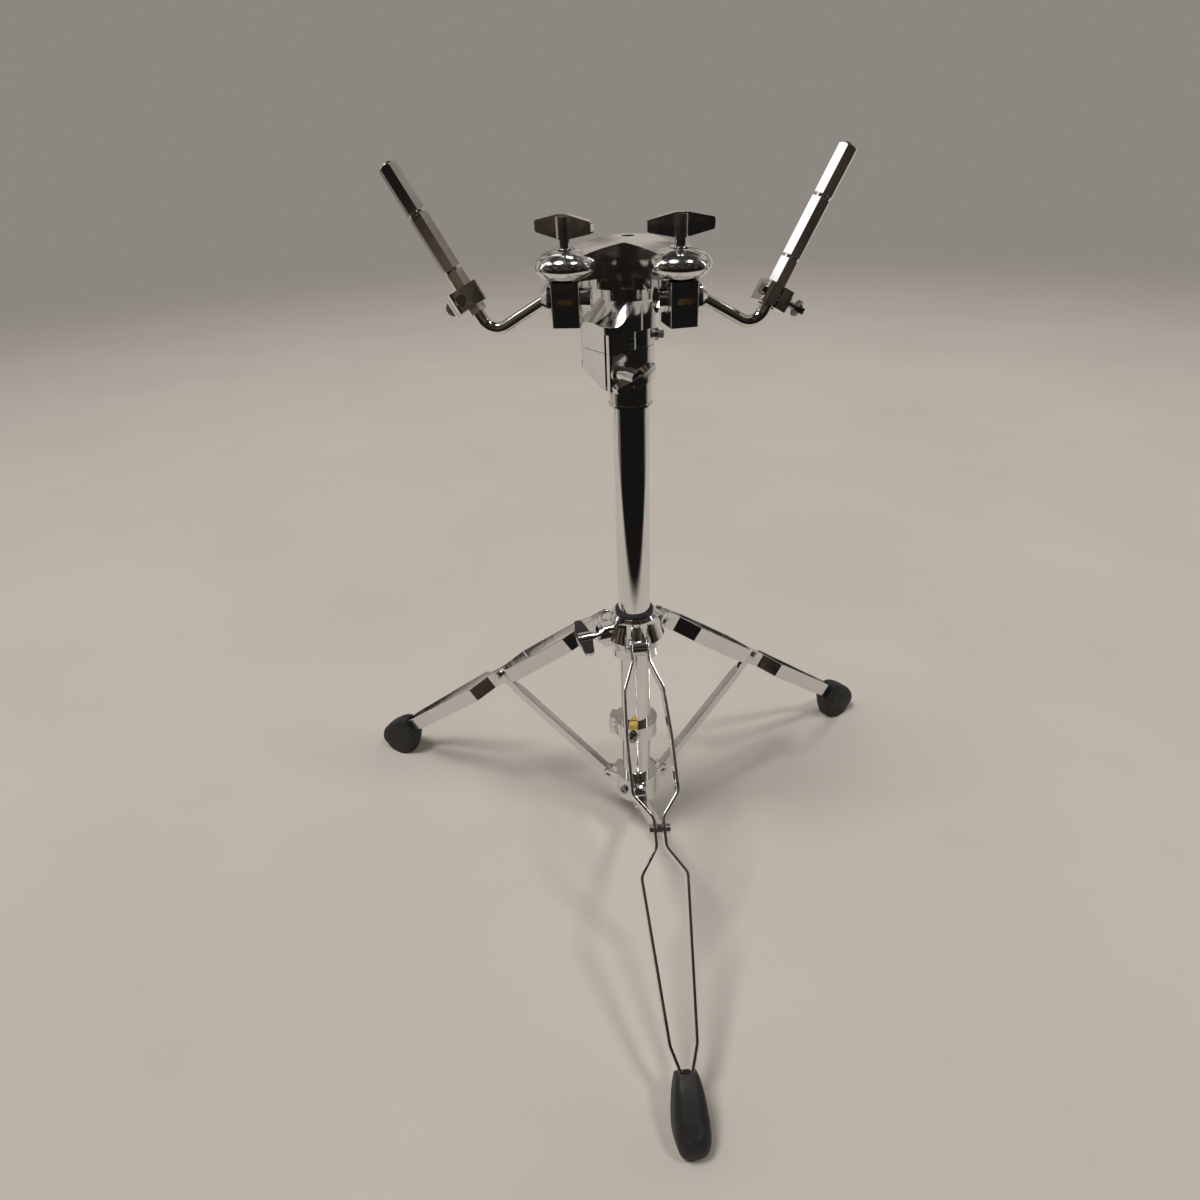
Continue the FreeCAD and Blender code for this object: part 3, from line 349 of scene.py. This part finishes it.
def lamp(name, toward, strength, spread, colour):
    """Even light from one direction; a wide spread in degrees gives soft shadows."""
    data = bpy.data.lights.new(name, "SUN")
    data.energy = strength
    data.angle = math.radians(spread)
    data.color = colour
    obj = bpy.data.objects.new(name, data)
    obj.rotation_euler = Vector(toward).to_track_quat("Z", "Y").to_euler()
    bpy.context.scene.collection.objects.link(obj)


def softbox(name, place, target, size, power):
    """White rectangular light at a place, aimed at a target; both are measured from the axis."""
    data = bpy.data.lights.new(name, "AREA")
    data.shape = "RECTANGLE"
    data.size, data.size_y = size
    data.energy = power
    data.color = WHITE
    obj = bpy.data.objects.new(name, data)
    bpy.context.scene.collection.objects.link(obj)
    obj.location = AXIS + Vector(place)
    aim = AXIS + Vector(target) - obj.location
    obj.rotation_euler = aim.to_track_quat("-Z", "Y").to_euler()


def photo_camera():
    """Camera at the viewing angle of the reference: from the front, above, and slightly left."""
    yaw, pitch, roll = (math.radians(a) for a in (CAMERA_YAW, CAMERA_PITCH, CAMERA_ROLL))
    forward = Vector((math.sin(yaw) * math.cos(pitch), math.cos(yaw) * math.cos(pitch),
                      -math.sin(pitch)))
    side = Vector((math.cos(yaw), -math.sin(yaw), 0.0))
    over = side.cross(forward)
    right = math.cos(roll) * side + math.sin(roll) * over
    up = -math.sin(roll) * side + math.cos(roll) * over
    data = bpy.data.cameras.new("camera")
    data.sensor_width = CAMERA_SENSOR
    data.lens = CAMERA_LENS
    data.clip_start = 0.01
    camera = bpy.data.objects.new("camera", data)
    bpy.context.scene.collection.objects.link(camera)
    turn = Matrix((right, up, -forward)).transposed()
    camera.matrix_world = Matrix.Translation(AXIS + Vector(CAMERA_PLACE)) @ turn.to_4x4()
    bpy.context.scene.camera = camera


studio_floor()
studio_world()
lamp("key", (-0.70, -0.35, 2.20), 1.45, 16.0, WARM_WHITE)
lamp("second", (0.75, -0.55, 1.90), 0.60, 9.0, WARM_WHITE)
softbox("side_left", (-0.99, 0.07, 1.80), (0.15, -0.04, 0.77), (0.62, 0.42), 1.0)
softbox("strip_left", (-1.9, 0.35, 1.35), (0.0, 0.0, 0.5), (0.12, 1.3), 1.6)
softbox("strip_right", (1.9, -0.1, 1.35), (0.0, 0.0, 0.5), (0.12, 1.3), 1.6)
photo_camera()
bpy.context.scene.view_settings.view_transform = "Standard"
